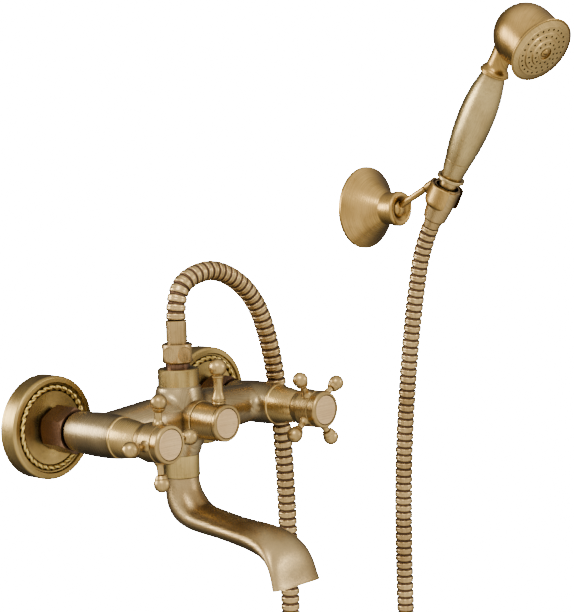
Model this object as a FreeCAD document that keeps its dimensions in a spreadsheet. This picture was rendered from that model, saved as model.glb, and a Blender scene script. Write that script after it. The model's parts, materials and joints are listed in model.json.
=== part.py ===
"""Wall mounted bath mixer with a swivel spout, hose, hand shower and wall holder.

Frame: the wall is the plane Y = 0, the room is at -Y, X runs to the right for
someone facing the wall and Z is up.  The origin lies on the wall, midway
between the two inlets and level with them.  "Out" means distance from the wall.
All lengths are millimetres.
"""
import FreeCAD, Part
import math
import os
import Sketcher

V = FreeCAD.Vector
doc = FreeCAD.newDocument("bath_mixer")

# ---------------------------------------------------------------- dimensions
SIZES = [
    ("running_gap", 0.06, "radial clearance of every turning fit"),
    ("centres", 150.0, "distance between the two inlets"),
    # wall end of each inlet
    ("tail_rad", 10.4775, "half inch pipe thread, outside"),
    ("tail_long", 14.0, "thread that goes into the wall"),
    ("union_rad", 12.0, "front end of the wall union"),
    ("union_out", 29.8, "front face of the wall union"),
    ("union_slack", 0.2, "radial clearance of gasket and flange inside the union nut"),
    ("inlet_rad", 7.5, "waterway of the inlets"),
    ("esc_rad", 35.2, "escutcheon"),
    ("esc_out", 13.9, "escutcheon, front of its rim"),
    ("esc_skin", 1.7, "escutcheon, metal thickness"),
    ("rope_inset", 8.2, "centre line of the rope ring, in from the escutcheon's edge"),
    ("rope_thick", 2.0, "rope ring, section radius"),
    ("rope_slack", 0.2, "clearance of the rope ring in its channel"),
    ("rope_depth", 3.7, "channel of the rope ring, below the escutcheon's front"),
    ("nut_wall", 2.0, "union nut, wall at the middle of its flats"),
    ("nut_stand", 2.6, "union nut, back face ahead of the escutcheon"),
    ("nut_lip", 2.2, "union nut, front wall"),
    ("nut_gap", 1.2, "space between the union nut and the valve barrel"),
    ("gasket_thick", 1.8, "union gasket"),
    # body casting
    ("column_set", 20.8, "column axis, ahead of the barrels' back ends"),
    ("barrel_rad", 14.9, "valve barrel at its middle"),
    ("barrel_long", 42.5, "valve barrel, length"),
    ("barrel_wall", 4.5, "valve barrel, from its pocket to its widest place"),
    ("barrel_blend", 6.0, "fillet between the bridge and a barrel"),
    ("flange_thick", 2.0, "barrel tail flange, thickness"),
    ("neck_wall", 2.1, "barrel tail behind the nut, wall"),
    ("bridge_root", 16.4, "bridge radius beside the column"),
    ("bridge_end", 12.8, "bridge radius inside the barrels"),
    ("bridge_level", 9.8, "length of level bridge beside the column"),
    ("column_rad", 18.2, "column at its middle"),
    ("column_top", 22.6, "top face of the column"),
    ("column_low", 24.9, "bottom shoulder of the column, below the axis"),
    ("column_blend", 6.5, "fillet between the bridge and the column"),
    ("stub_long", 9.3, "threaded stub under the column, length"),
    ("stub_wall", 1.8, "wall of that stub"),
    ("boss_rad", 13.4, "diverter boss"),
    ("boss_step", 0.2, "diverter boss, front face ahead of the column"),
    ("boss_wall", 3.0, "diverter boss, wall round its pocket"),
    ("boss_pocket", 18.2, "diverter pocket, depth"),
    ("pocket_deep", 19.5, "valve pocket depth"),
    ("way_rad", 6.0, "waterway along the bridge"),
    ("riser_rad", 8.0, "waterway up the column"),
    # valve fronts
    ("bonnet_inset", 1.0, "base ring of the bonnet, in from the barrel's widest place"),
    ("bonnet_ring", 1.7, "length of that ring"),
    ("bonnet_taper", 3.2, "how much narrower the bonnet is at its tip"),
    ("bonnet_curve", 110.0, "radius of the bonnet's swell"),
    ("bonnet_long", 21.0, "bonnet length"),
    ("bonnet_skin", 1.7, "bonnet thickness"),
    ("bonnet_web", 2.4, "front wall of the bonnet round the cartridge neck"),
    ("spindle_rad", 4.0, "spindle"),
    ("spindle_step", 13.1, "front end of the valve spindle, ahead of the hub's back"),
    ("hub_gap", 0.4, "space between bonnet and hub"),
    ("hub_rad", 13.3, "cross handle hub"),
    ("hub_long", 17.2, "cross handle hub, length"),
    ("hub_web", 1.3, "wall of a handle in front of its spindle"),
    ("foot_depth", 0.9, "how deep the arms' feet sit in the hub"),
    ("foot_rad", 3.9, "foot of an arm"),
    ("arm_tilt", 6.0, "forward tilt of the arms, degrees"),
    ("arm_rise", 11.7, "where the lines of the four arms meet the axis, ahead of the hub's back"),
    ("arm_long", 13.6, "ball centres from the hub's side"),
    ("arm_rad", 2.4, "thin part of an arm"),
    ("ball_rad", 5.45, "ball at the end of an arm"),
    ("ball_neck", 1.25, "how much narrower the neck of that ball is"),
    ("tail_pin", 2.2, "root pin of the arms and of the lever"),
    ("hot_turn", 0.0, "hot handle, angle of its first arm"),
    ("cold_turn", 34.0, "cold handle, angle of its first arm"),
    ("screw_rad", 1.95, "handle screw shank"),
    ("screw_head", 3.6, "handle screw head"),
    ("cap_inset", 0.3, "cap ring of a cross handle, in from the hub's side"),
    ("cap_long", 6.9, "cap ring, length"),
    ("cap_wall", 2.9, "cap ring, from the disc to its side"),
    ("disc_groove", 0.45, "groove round the disc"),
    # diverter
    ("ring_long", 3.8, "ring between the boss and the diverter handle"),
    ("dial_gap", 0.3, "space between that ring and the handle"),
    ("dial_inset", 0.6, "diverter handle, in from the boss's side"),
    ("dial_long", 19.5, "diverter handle, length"),
    ("dial_web", 2.8, "recess in the front of the diverter handle"),
    ("dial_cap_long", 3.4, "its cap ring, length"),
    ("dial_wall", 2.7, "its cap ring, from the disc to the handle's side"),
    ("lever_set", 4.2, "lever axis, behind the front of the diverter handle"),
    ("lever_depth", 1.2, "how deep the lever's foot sits in that handle"),
    ("lever_plug", 4.0, "foot of the lever inside the handle"),
    ("lever_thick", 4.6, "foot of the lever outside the handle"),
    ("lever_ball", 6.1, "lever ball"),
    ("lever_long", 24.6, "lever ball centre above the side of the handle"),
    # hose outlet
    ("collar_wall", 5.77, "collar on the column, round the nipple"),
    ("collar_long", 11.4, "collar on the column, length"),
    ("nipple_rad", 8.33, "hose nipple, a three eighths inch thread"),
    ("nipple_bore", 0.5, "how much wider the nipple's bore is than the hose's"),
    ("hose_nut_gap", 3.6, "bare nipple between the collar and the hose nut"),
    ("hose_nut_long", 13.4, "hose nut, length"),
    ("hose_nut_wall", 2.72, "hose nut, wall at its widest place"),
    ("hose_nut_grip", 6.4, "thread inside the hose nut"),
    ("hose_nut_turn", 12.6, "hose nut, angle of one facet"),
    ("facet_rad", 5.0, "round facet of the hose nut"),
    ("facet_deep", 1.15, "depth of that facet"),
    ("washer_thick", 1.6, "hose washers"),
    ("hose_rad", 7.0, "hose"),
    ("hose_wall", 1.5, "hose, wall"),
    ("ferrule_lap", 0.25, "straight ferrule, over the hose"),
    ("ferrule_long", 15.9, "straight ferrule, above the hose nut"),
    # spout
    ("swivel_rad", 12.7, "swivel collar"),
    ("swivel_lip", 2.6, "lip at the bottom of that collar"),
    ("swivel_wall", 1.7, "wall of that collar"),
    ("spout_flange", 3.8, "flange that the collar carries the spout by"),
    ("spout_inset", 0.8, "spout at its top, in from the collar's side"),
    ("spout_skin", 2.0, "spout wall"),
    ("spout_mid", 14.3, "half width halfway along the spout"),
    ("spout_reach", 103.2, "mouth of the spout, out from the column axis"),
    ("spout_drop", 61.3, "mouth of the spout, below the swivel collar"),
    ("mouth_half", 22.0, "half width of the mouth"),
    ("mouth_thick", 4.3, "half thickness of the mouth"),
    # wall holder
    ("holder_x", 268.3, "holder, to the right of the origin"),
    ("holder_z", 120.0, "holder, above the origin"),
    ("plate_inset", 7.8, "holder plate, in from the rose's edge"),
    ("plate_thick", 3.0, "holder plate"),
    ("post_rad", 10.0, "post of the holder plate"),
    ("rose_rad", 31.8, "holder rose at the wall"),
    ("rose_rim", 3.4, "holder rose, thickness of its rim"),
    ("rose_tip", 12.3, "holder rose at the cup"),
    ("rose_out", 23.6, "holder rose, front"),
    ("rose_web", 2.6, "holder rose, thickness of its front"),
    ("rose_curve", 120.0, "radius of the rose's hollow side"),
    ("cup_step", 0.4, "holder cup, beyond the rose's tip"),
    ("cup_rim", 0.9, "rim of that cup, beyond its side"),
    ("cup_long", 14.3, "holder cup, length"),
    ("joint_rad", 7.2, "ball of the joint"),
    ("joint_set", 0.7, "ball, ahead of the front of the rose"),
    ("rod_rad", 2.8, "holder rod"),
    ("screw_pitch", 32.0, "holder plate, distance between its two screw holes"),
    ("screw_hole", 2.25, "holder plate, radius of its screw holes"),
    # hand shower, measured along its own axis from the middle of the fork
    ("lean", 28.6, "lean of the hand shower from upright, degrees"),
    ("seat_ahead", 47.5, "middle of the fork, out from the ball joint"),
    ("seat_rise", 11.2, "middle of the fork, above the ball joint"),
    ("fork_half", 8.7, "half height of the fork"),
    ("fork_wall", 1.9, "fork, wall at its top"),
    ("fork_round", 8.5, "rounding of the fork's lower front corners"),
    ("slot_slack", 1.5, "clearance each side of the hose in the gap of the fork"),
    ("cone_top", 11.3, "hose cone radius at the top of the fork"),
    ("cone_low", 10.4, "hose cone radius at the bottom of the fork"),
    ("cone_skin", 1.4, "hose cone, metal thickness"),
    ("cone_long", 17.8, "hose cone, below the fork"),
    ("nut_rise", 6.0, "bottom of the hose cone's nut above the end of the cone"),
    ("grip_stand", 8.3, "bottom of the grip above the fork"),
    ("grip_long", 87.5, "grip, length"),
    ("grip_rad", 14.0, "grip at its widest"),
    ("neck_long", 40.6, "axis of the head, above the grip"),
    ("neck_rad", 8.0, "neck of the head at its waist"),
    ("neck_tail", 5.5, "tail of the head inside the grip"),
    ("neck_skin", 1.4, "wall of that tail"),
    ("bead_rad", 11.5, "flared rim at the foot of the head's neck"),
    ("head_turn", 9.45, "turn of the head to the left, degrees"),
    ("head_nod", 5.46, "nod of the head towards the grip, degrees"),
    ("head_front", 34.4, "front of the head, ahead of the grip axis"),
    ("head_deep", 20.25, "centre of the dome, behind the front of the head"),
    ("head_skin", 1.8, "metal of the head"),
    ("rim_rad", 26.4, "rim of the head"),
    ("rim_flare", 2.65, "rim, beyond the dome"),
    ("rim_lip", 1.3, "rim, beyond the spray face"),
    ("pipe_step", 2.25, "how much narrower the pipe under the grip is than the cone's thread"),
    ("ring_rad", 10.9, "ring under the grip"),
    ("jets_outer", 18.3, "ring of outer jets"),
    ("jets_apart", 4.95, "distance between the rings of jets"),
    ("jet_rad", 0.8, "jet hole"),
    ("land_half", 2.2, "half width of the step that carries a ring of jets"),
    ("face_rise", 1.45, "height of each step of the spray face"),
    ("recess_set", 3.5, "recess of the face screw, in from the inner jets"),
]

sheet = doc.addObject("Spreadsheet::Sheet", "sizes")
for row, (alias, value, note) in enumerate(SIZES, 1):
    sheet.set("A%d" % row, alias)
    sheet.set("B%d" % row, str(value))
    sheet.set("C%d" % row, note)
    sheet.setAlias("B%d" % row, alias)
doc.recompute()


class Size:
    """A number together with the sheet formula that gives it."""

    def __init__(self, value, text=None):
        self.value = float(value)
        self.text = text or "%.6g" % value
        self.fixed = text is None

    def _join(self, other, sign, value):
        other = size(other)
        joined = Size(value, "(%s %s %s)" % (self.text, sign, other.text))
        joined.fixed = self.fixed and other.fixed
        return joined

    def __add__(self, other):
        return self._join(other, "+", self.value + size(other).value)

    def __sub__(self, other):
        return self._join(other, "-", self.value - size(other).value)

    def __mul__(self, other):
        return self._join(other, "*", self.value * size(other).value)

    def __truediv__(self, other):
        return self._join(other, "/", self.value / size(other).value)

    def __radd__(self, other):
        return size(other) + self

    def __rsub__(self, other):
        return size(other) - self

    def __rmul__(self, other):
        return size(other) * self

    def __neg__(self):
        return size(0) - self


def size(number):
    """Wrap a plain number; leave a Size as it is."""
    return number if isinstance(number, Size) else Size(number)


def root(number):
    """Square root of a Size."""
    result = Size(math.sqrt(number.value), "sqrt(%s)" % number.text)
    result.fixed = number.fixed
    return result


class Sheet:
    """The sheet's values as attributes."""


d = Sheet()
for alias, value, note in SIZES:
    setattr(d, alias, Size(sheet.get(alias), "sizes." + alias))

# ------------------------------------------------------------------- helpers
UP = FreeCAD.Rotation()
OUT = FreeCAD.Rotation(V(1, 0, 0), 90)


def bind(thing, path, number):
    """Drive one property of an object from the sheet."""
    if not number.fixed:
        thing.setExpression(path, number.text)


def locate(thing, x, y, z, rotation=UP):
    """Place a sub-part; its position follows the sheet."""
    at = [size(n) for n in (x, y, z)]
    thing.Placement = FreeCAD.Placement(V(*[n.value for n in at]), rotation)
    for axis, number in zip("xyz", at):
        bind(thing, "Placement.Base." + axis, number)


def new_body(label, x=0, y=0, z=0, rotation=UP):
    """Start a sub-part made of sketched features."""
    body = doc.addObject("PartDesign::Body", label)
    body.Label = label
    locate(body, x, y, z, rotation)
    return body


def origin_item(body, role):
    """One plane or axis of a body's own origin."""
    return [item for item in body.Origin.OriginFeatures if item.Role == role][0]


def new_sketch(body, name, plane):
    """Attach a sketch to one of the body's own planes."""
    sketch = body.newObject("Sketcher::SketchObject", name)
    sketch.AttachmentSupport = (origin_item(body, plane), [""])
    sketch.MapMode = "FlatFace"
    return sketch


def fix_point(sketch, geo, pos, x, y):
    """Hold a sketch point at a driven distance from the sketch's origin."""
    for kind, number in (("DistanceX", x), ("DistanceY", y)):
        index = sketch.addConstraint(Sketcher.Constraint(kind, -1, 1, geo, pos, number.value))
        bind(sketch, "Constraints[%d]" % index, number)


def bulge(a, b, radius):
    """Middle of the short arc from a to b; its centre is on the left for a positive radius."""
    chord = b - a
    half = chord.Length / 2
    side = V(-chord.y, chord.x, 0).normalize()
    rise = abs(radius) - math.sqrt(max(radius * radius - half * half, 0.0))
    return (a + b) / 2 - side * math.copysign(rise, radius)


def draw(sketch, points):
    """Closed outline through points (x, y) or (x, y, radius of the arc to the next point)."""
    points = [tuple(size(n) for n in point) for point in points]
    places = [V(p[0].value, p[1].value, 0) for p in points]
    starts = []
    for i, point in enumerate(points):
        here, there = places[i], places[(i + 1) % len(points)]
        if len(point) == 3:
            curve = Part.Arc(here, bulge(here, there, point[2].value), there)
        else:
            curve = Part.LineSegment(here, there)
        geo = sketch.addGeometry(curve, False)
        starts.append((geo, 1 if (sketch.getPoint(geo, 1) - here).Length < 1e-6 else 2))
    for i, point in enumerate(points):
        geo, start = starts[i]
        after, after_start = starts[(i + 1) % len(points)]
        sketch.addConstraint(Sketcher.Constraint("Coincident", geo, 3 - start, after, after_start))
        fix_point(sketch, geo, start, point[0], point[1])
        if len(point) == 3:
            length = point[2] if point[2].value > 0 else -point[2]
            index = sketch.addConstraint(Sketcher.Constraint("Radius", geo, length.value))
            bind(sketch, "Constraints[%d]" % index, length)


def turned(body, name, profile, cut=False, plane="XZ_Plane", along="y", offset=0,
           lift=0, tilt=0, shift=0):
    """Turn a profile of (radius, station) points into a solid, or a cut, of the body.

    along="y" runs the stations up the sketch and along="x" runs them across it;
    offset moves the turning axis sideways in the sketch.  The sketch itself may
    be lifted and shifted in its plane and tilted there by an angle in degrees.
    """
    offset = size(offset)
    points = []
    for point in profile:
        radius, station = size(point[0]), size(point[1])
        bend = [size(n) for n in point[2:]]
        if along == "y":
            points.append((offset + radius, station, *bend))
        else:
            points.append((station, offset + radius, *[-n for n in bend]))
    sketch = new_sketch(body, name + "_sketch", plane)
    shift, lift, tilt = size(shift), size(lift), size(tilt)
    sketch.AttachmentOffset = FreeCAD.Placement(
        V(shift.value, lift.value, 0), FreeCAD.Rotation(V(0, 0, 1), tilt.value))
    bind(sketch, "AttachmentOffset.Base.x", shift)
    bind(sketch, "AttachmentOffset.Base.y", lift)
    bind(sketch, "AttachmentOffset.Rotation.Angle", tilt)
    draw(sketch, points)
    far = 50.0
    if along == "y":
        line = Part.LineSegment(V(offset.value, 0, 0), V(offset.value, far, 0))
        ends = ((offset, size(0)), (offset, size(far)))
    else:
        line = Part.LineSegment(V(0, offset.value, 0), V(far, offset.value, 0))
        ends = ((size(0), offset), (size(far), offset))
    axis = sketch.addGeometry(line, True)
    for pos, (x, y) in enumerate(ends, 1):
        fix_point(sketch, axis, pos, x, y)
    kind = "PartDesign::Groove" if cut else "PartDesign::Revolution"
    feature = body.newObject(kind, name)
    feature.Profile = sketch
    feature.ReferenceAxis = (sketch, ["Axis0"])
    feature.Angle = 360
    sketch.Visibility = False
    return feature


def polygon(count, flats, turn=0.0):
    """Corners of a regular polygon given across its flats, one flat facing the angle turn."""
    corners = []
    for i in range(count):
        angle = math.radians(turn + 180.0 / count + 360.0 * i / count)
        reach = flats / (2 * math.cos(math.pi / count))
        corners.append((reach * math.cos(angle), reach * math.sin(angle)))
    return corners


def prism(body, name, corners, low, high, cut=False, plane="XY_Plane"):
    """Pad or pocket a straight sided outline between two heights of the body."""
    sketch = new_sketch(body, name + "_sketch", plane)
    draw(sketch, corners)
    low, high = size(low), size(high)
    sketch.AttachmentOffset = FreeCAD.Placement(V(0, 0, low.value), FreeCAD.Rotation())
    bind(sketch, "AttachmentOffset.Base.z", low)
    feature = body.newObject("PartDesign::Pocket" if cut else "PartDesign::Pad", name)
    feature.Profile = sketch
    feature.Length = (high - low).value
    bind(feature, "Length", high - low)
    feature.Reversed = cut
    sketch.Visibility = False
    return feature


def around(body, feature, count):
    """Repeat a feature evenly round the body's Z axis."""
    pattern = body.newObject("PartDesign::PolarPattern", feature.Name + "_pattern")
    pattern.Originals = [feature]
    pattern.Axis = (origin_item(body, "Z_Axis"), [""])
    pattern.Angle = 360
    pattern.Occurrences = count
    body.Tip = pattern
    return pattern


def box(low_r, high_r, low, high):
    """Rectangular profile between two radii and two stations."""
    return [(low_r, low), (high_r, low), (high_r, high), (low_r, high)]


def neck_start(neck, rad, centre):
    """Station where a neck runs into the near side of a ball."""
    return centre - root(rad * rad - neck * neck)


def ball_tip(neck, rad, centre):
    """End of a profile that runs from a neck over a ball to the axis."""
    return [(neck, neck_start(neck, rad, centre), rad), (rad, centre, rad), (0, centre + rad)]


def swell(narrow, wide, length):
    """Radius of an arc that leaves the widest place parallel to the axis."""
    step = wide - narrow
    return (length * length + step * step) / (step * 2)


SIDES = (("hot", -1, d.hot_turn), ("cold", 1, d.cold_turn))

# ------------------------------------------ places that follow from the sizes
# Stations out from the wall.
gasket_front = d.union_out + d.gasket_thick
nut_shoulder = gasket_front + d.flange_thick
nut_front = nut_shoulder + d.nut_lip
nut_back = d.esc_out + d.nut_stand
barrel_back = nut_front + d.nut_gap
barrel_front = barrel_back + d.barrel_long
column_out = barrel_back + d.column_set
boss_out = column_out + d.column_rad + d.boss_step
bonnet_end = barrel_front + d.bonnet_long
hub_back = bonnet_end + d.hub_gap
hub_front = hub_back + d.hub_long
spindle_end = hub_back + d.spindle_step
arm_out = hub_back + d.arm_rise
cap_front = hub_front + d.cap_long
ring_front = boss_out + d.ring_long
dial_back = ring_front + d.dial_gap
dial_front = dial_back + d.dial_long
lever_out = dial_front - d.lever_set
joint_out = d.rose_out + d.joint_rad + d.joint_set
seat_out = joint_out + d.seat_ahead
# Heights above the axis of the bridge, or below it for names that end in _low.
stub_low = d.column_low + d.stub_long
lip_low = stub_low + d.spout_flange
swivel_low = lip_low + d.swivel_lip
collar_top = d.column_top + d.collar_long
hose_nut_low = collar_top + d.hose_nut_gap
hose_nut_top = hose_nut_low + d.hose_nut_long
nipple_top = hose_nut_low + d.hose_nut_grip
ferrule_top = hose_nut_top + d.ferrule_long
seat_z = d.holder_z + d.seat_rise
grip_low = d.fork_half + d.grip_stand
grip_top = grip_low + d.grip_long
head_up = grip_top + d.neck_long
# Radii of what fits together.
seal_rad = d.union_rad - d.union_slack
pocket_rad = d.barrel_rad - d.barrel_wall
boss_pocket_rad = d.boss_rad - d.boss_wall
bonnet_rad = d.barrel_rad - d.bonnet_inset
bonnet_tip = bonnet_rad - d.bonnet_taper
cart_neck = bonnet_tip - d.bonnet_web
cap_rad = d.hub_rad - d.cap_inset
disc_rad = cap_rad - d.cap_wall
dial_rad = d.boss_rad - d.dial_inset
dial_disc = dial_rad - d.dial_wall
hose_bore = d.hose_rad - d.hose_wall
ferrule_rad = d.hose_rad + d.ferrule_lap
collar_rad = d.nipple_rad + d.collar_wall
stub_rad = d.swivel_rad - d.swivel_wall
spout_rad = d.swivel_rad - d.spout_inset
spout_tail = stub_rad - d.stub_wall
cup_rad = d.rose_tip + d.cup_step
fork_rad = d.cone_top + d.fork_wall
thread_rad = d.cone_low - d.cone_skin
inlet_pipe = thread_rad - d.pipe_step
face_rad = d.rim_rad - d.rim_lip
head_rad = d.rim_rad - d.rim_flare

# ------------------------------------------------------------- wall fittings
for side, sign, turn in SIDES:
    x = d.centres * sign / 2

    union = new_body("wall_union_" + side, x, 0, 0, OUT)
    turned(union, "union_" + side, [
        (d.inlet_rad, -d.tail_long),
        (d.tail_rad, -d.tail_long),
        (d.tail_rad, 3),
        (d.union_rad, 3),
        (d.union_rad, d.union_out),
        (d.inlet_rad, d.union_out),
    ])

    floor = d.esc_out - d.rope_depth
    rope_rad = d.esc_rad - d.rope_inset
    channel = d.rope_thick + d.rope_slack
    escutcheon = new_body("escutcheon_" + side, x, 0, 0, OUT)
    turned(escutcheon, "shell_" + side, [
        (d.esc_rad - d.esc_skin, 0),
        (d.esc_rad, 0),
        (d.esc_rad, d.esc_out - 2.0, 2.2),
        (d.esc_rad - 1.7, d.esc_out),
        (d.esc_rad - 4.3, d.esc_out),
        (d.esc_rad - 5.0, d.esc_out - 1.5),
        (rope_rad + channel, d.esc_out - 1.7),
        (rope_rad + channel, floor),
        (rope_rad - channel, floor),
        (rope_rad - channel, d.esc_out - 1.5, -90.0),
        (d.union_rad, d.esc_out - 0.9),
        (d.union_rad, floor - d.esc_skin),
        (d.esc_rad - d.esc_skin, floor - d.esc_skin),
    ])

    rope = doc.addObject("Part::Torus", "rope_ring_" + side)
    rope.Label = "rope_ring_" + side
    bind(rope, "Radius1", rope_rad)
    bind(rope, "Radius2", d.rope_thick)
    locate(rope, x, -(floor + d.rope_thick), 0, OUT)

    nut_mid = d.union_rad + d.nut_wall
    nut_hole = d.inlet_rad + d.neck_wall + 0.3
    nut = new_body("union_nut_" + side, x, 0, 0, OUT)
    prism(nut, "hex_" + side, polygon(6, nut_mid * 2), nut_back, nut_front)
    turned(nut, "thread_" + side, [
        (0, nut_back - 1),
        (d.union_rad, nut_back - 1),
        (d.union_rad, nut_shoulder),
        (nut_hole, nut_shoulder),
        (nut_hole, nut_front + 1),
        (0, nut_front + 1),
    ], cut=True)
    corner = nut_mid + 0.4
    for end, place, way in (("front", nut_front, -1), ("back", nut_back, 1)):
        turned(nut, "chamfer_%s_%s" % (end, side), [
            (corner, place),
            (corner + 3, place),
            (corner + 3, place + 1.8 * way),
        ], cut=True)

    gasket = new_body("union_gasket_" + side, x, 0, 0, OUT)
    turned(gasket, "ring_" + side, box(d.inlet_rad, seal_rad, d.union_out, gasket_front))

# -------------------------------------------------------------- body casting
# The casting's own frame stands on the column axis, so a station "out" from
# the wall is at y = column_out - out.
casting = new_body("valve_body", 0, -column_out, 0)


def inward(profile):
    """Change stations out from the wall into the casting's own y."""
    return [(p[0], column_out - p[1], *[-n for n in p[2:]]) for p in profile]


def keep_faces(body):
    """Leave the faces of a body unmerged: merging them beside a fillet spoils the solid."""
    for feature in body.Group:
        if hasattr(feature, "Refine"):
            feature.Refine = False


def seams(shape, near, far):
    """Names of the freeform edges between two distances to the side, the boss's own left out."""
    names = []
    for i, edge in enumerate(shape.Edges, 1):
        reach = sorted((abs(edge.BoundBox.XMin), abs(edge.BoundBox.XMax)))
        on_boss = all(abs(math.hypot(end.X, end.Z) - d.boss_rad.value) < 0.01
                      for end in edge.Vertexes)
        if (edge.Curve.TypeId == "Part::GeomBSplineCurve" and not on_boss
                and near <= reach[0] and reach[1] <= far):
            names.append("Edge%d" % i)
    return names


def blend(body, name, near, far, radius):
    """Fillet the seams where two turned shapes of a casting run into each other."""
    keep_faces(body)
    doc.recompute()
    seam = (body.Tip, seams(body.Tip.Shape, near.value, far.value))
    fillet = body.newObject("PartDesign::Fillet", name)
    fillet.Base = seam
    fillet.Radius = radius.value
    bind(fillet, "Radius", radius)
    body.Tip = fillet


column_foot = d.swivel_rad + 0.6
column_head = collar_rad + 1.1
shoulder = d.column_top - 1.2
turned(casting, "column", [
    (0, -d.column_low),
    (column_foot, -d.column_low,
     swell((column_foot + column_head) / 2, d.column_rad, (d.column_low + shoulder) / 2)),
    (column_head, shoulder),
    (collar_rad, d.column_top),
    (0, d.column_top),
])
level = d.column_rad + d.bridge_level
turned(casting, "bridge", [
    (0, -d.centres / 2),
    (d.bridge_end, -d.centres / 2),
    (d.bridge_root, -level),
    (d.bridge_root, level),
    (d.bridge_end, d.centres / 2),
    (0, d.centres / 2),
], along="x")
turned(casting, "boss", inward(box(0, d.boss_rad, column_out, boss_out)), plane="XY_Plane")
blend(casting, "column_fillet", size(0), d.centres / 4, d.column_blend)
for side, sign, turn in SIDES:
    turned(casting, "barrel_" + side, inward([
        (0, barrel_back),
        (d.barrel_rad - 2.3, barrel_back),
        (d.barrel_rad - 1.7, barrel_back + 0.8,
         swell(d.barrel_rad - 1.25, d.barrel_rad, d.barrel_long / 2)),
        (d.barrel_rad - 0.8, barrel_front),
        (0, barrel_front),
    ]), plane="XY_Plane", offset=d.centres * sign / 2)
blend(casting, "barrel_fillet", d.centres / 4, d.centres, d.barrel_blend)
turned(casting, "stub", box(0, stub_rad, -stub_low, -d.column_low))
for side, sign, turn in SIDES:
    x = d.centres * sign / 2
    neck = d.inlet_rad + d.neck_wall
    turned(casting, "tail_" + side, inward([
        (0, gasket_front),
        (seal_rad, gasket_front),
        (seal_rad, nut_shoulder),
        (neck, nut_shoulder),
        (neck, barrel_back + 1),
        (0, barrel_back + 1),
    ]), plane="XY_Plane", offset=x)
    pocket_back = barrel_front - d.pocket_deep
    turned(casting, "pocket_" + side, inward([
        (0, gasket_front - 1),
        (d.inlet_rad, gasket_front - 1),
        (d.inlet_rad, pocket_back),
        (pocket_rad, pocket_back),
        (pocket_rad, barrel_front + 1),
        (0, barrel_front + 1),
    ]), cut=True, plane="XY_Plane", offset=x)
turned(casting, "crossway", box(0, d.way_rad, -d.centres / 2, d.centres / 2), cut=True, along="x")
tail_top = 2.9 - d.column_low
turned(casting, "riser", [
    (0, -stub_low - 1),
    (spout_tail + d.running_gap, -stub_low - 1),
    (spout_tail + d.running_gap, tail_top + 2),
    (d.riser_rad, tail_top + 2),
    (d.riser_rad, d.column_top + 1),
    (0, d.column_top + 1),
], cut=True)
diverter_back = boss_out - d.boss_pocket
turned(casting, "diverter_pocket", inward(box(0, boss_pocket_rad, diverter_back, boss_out + 1)),
       cut=True, plane="XY_Plane")
keep_faces(casting)

# -------------------------------------------------------------- valve fronts


def spindle(label, x, back, front):
    """Spindle with a tapped end for the handle screw."""
    body = new_body(label, x, 0, 0, OUT)
    turned(body, label + "_turned", [
        (0, back),
        (d.spindle_rad, back),
        (d.spindle_rad, front - 0.5),
        (d.spindle_rad - 0.5, front),
        (d.screw_rad + 0.05, front),
        (d.screw_rad + 0.05, front - 9),
        (0, front - 9),
    ])


def handle_screw(label, x, seat):
    """Pan head screw that holds a handle on its spindle; seat is the face under its head."""
    body = new_body(label, x, 0, 0, OUT)
    turned(body, label + "_turned", [
        (0, seat - 8.5),
        (d.screw_rad, seat - 8.5),
        (d.screw_rad, seat),
        (d.screw_head, seat),
        (d.screw_head, seat + 1.2, 1.4),
        (d.screw_head - 1.2, seat + 2.0),
        (0, seat + 2.0),
    ])
    slot = d.screw_head - 1.0
    prism(body, label + "_slot", [(-slot, -0.5), (slot, -0.5), (slot, 0.5), (-slot, 0.5)],
          seat + 1.0, seat + 3.0, cut=True)


def index_disc(label, x, rad, seat, front):
    """Flat disc let into the cap ring."""
    body = new_body(label, x, 0, 0, OUT)
    turned(body, label + "_turned", [
        (0, seat),
        (rad, seat),
        (rad, front - 0.3),
        (rad - 0.3, front),
        (0, front),
    ])


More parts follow.
